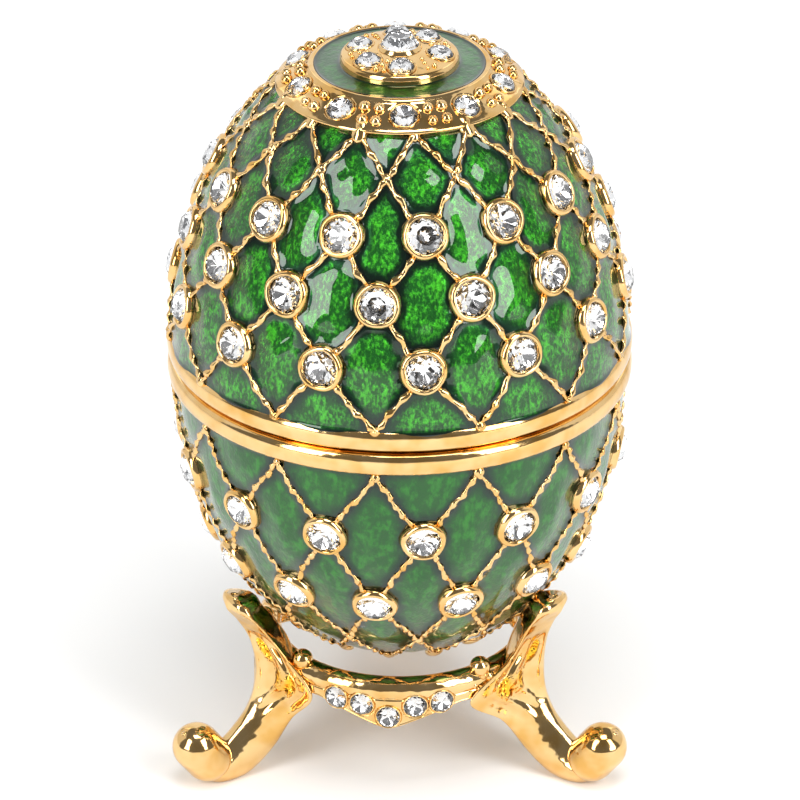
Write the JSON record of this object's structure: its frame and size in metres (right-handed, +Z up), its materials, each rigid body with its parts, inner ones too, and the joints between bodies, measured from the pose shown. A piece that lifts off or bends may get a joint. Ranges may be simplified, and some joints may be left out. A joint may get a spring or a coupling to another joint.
{
  "type": "jewelled egg trinket box",
  "caption": "Enamelled egg-shaped trinket box with a lift-off lid, gold lattice and round crystals, on a three-legged gold stand.",
  "frame": {"origin": "middle of the bounding box, at the level of the soles", "axes": "+Z up along the egg's axis, -Y towards the front, where the gap between two legs faces"},
  "size_m": [0.0464, 0.0492, 0.0772],
  "materials": {
    "gold_plate": "polished yellow gold plating on a casting, smooth with fine grain in the recesses",
    "green_enamel": "glossy translucent emerald enamel over a foil-like ground, between gold plated lattice wires and rims",
    "crystal": "clear cut glass, foiled behind"
  },
  "bodies": {
    "root": {"stand": "gold_plate", "bowl": "green_enamel", "lid": "green_enamel", "crown_stone_0": "crystal", "crown_stone_1": "crystal", "crown_stone_2": "crystal", "crown_stone_3": "crystal", "crown_stone_4": "crystal", "crown_stone_5": "crystal", "crown_stone_6": "crystal", "ring_stone_1": "crystal", "ring_stone_2": "crystal", "ring_stone_3": "crystal", "ring_stone_4": "crystal", "ring_stone_5": "crystal", "ring_stone_6": "crystal", "ring_stone_7": "crystal", "ring_stone_8": "crystal", "ring_stone_9": "crystal", "ring_stone_10": "crystal", "swag_stone_1_1": "crystal", "swag_stone_1_2": "crystal", "swag_stone_1_3": "crystal", "swag_stone_1_4": "crystal", "swag_stone_1_5": "crystal", "swag_stone_2_1": "crystal", "swag_stone_2_2": "crystal", "swag_stone_2_3": "crystal", "swag_stone_2_4": "crystal", "swag_stone_2_5": "crystal", "swag_stone_3_1": "crystal", "swag_stone_3_2": "crystal", "swag_stone_3_3": "crystal", "swag_stone_3_4": "crystal", "swag_stone_3_5": "crystal"}
  },
  "joints": []
}
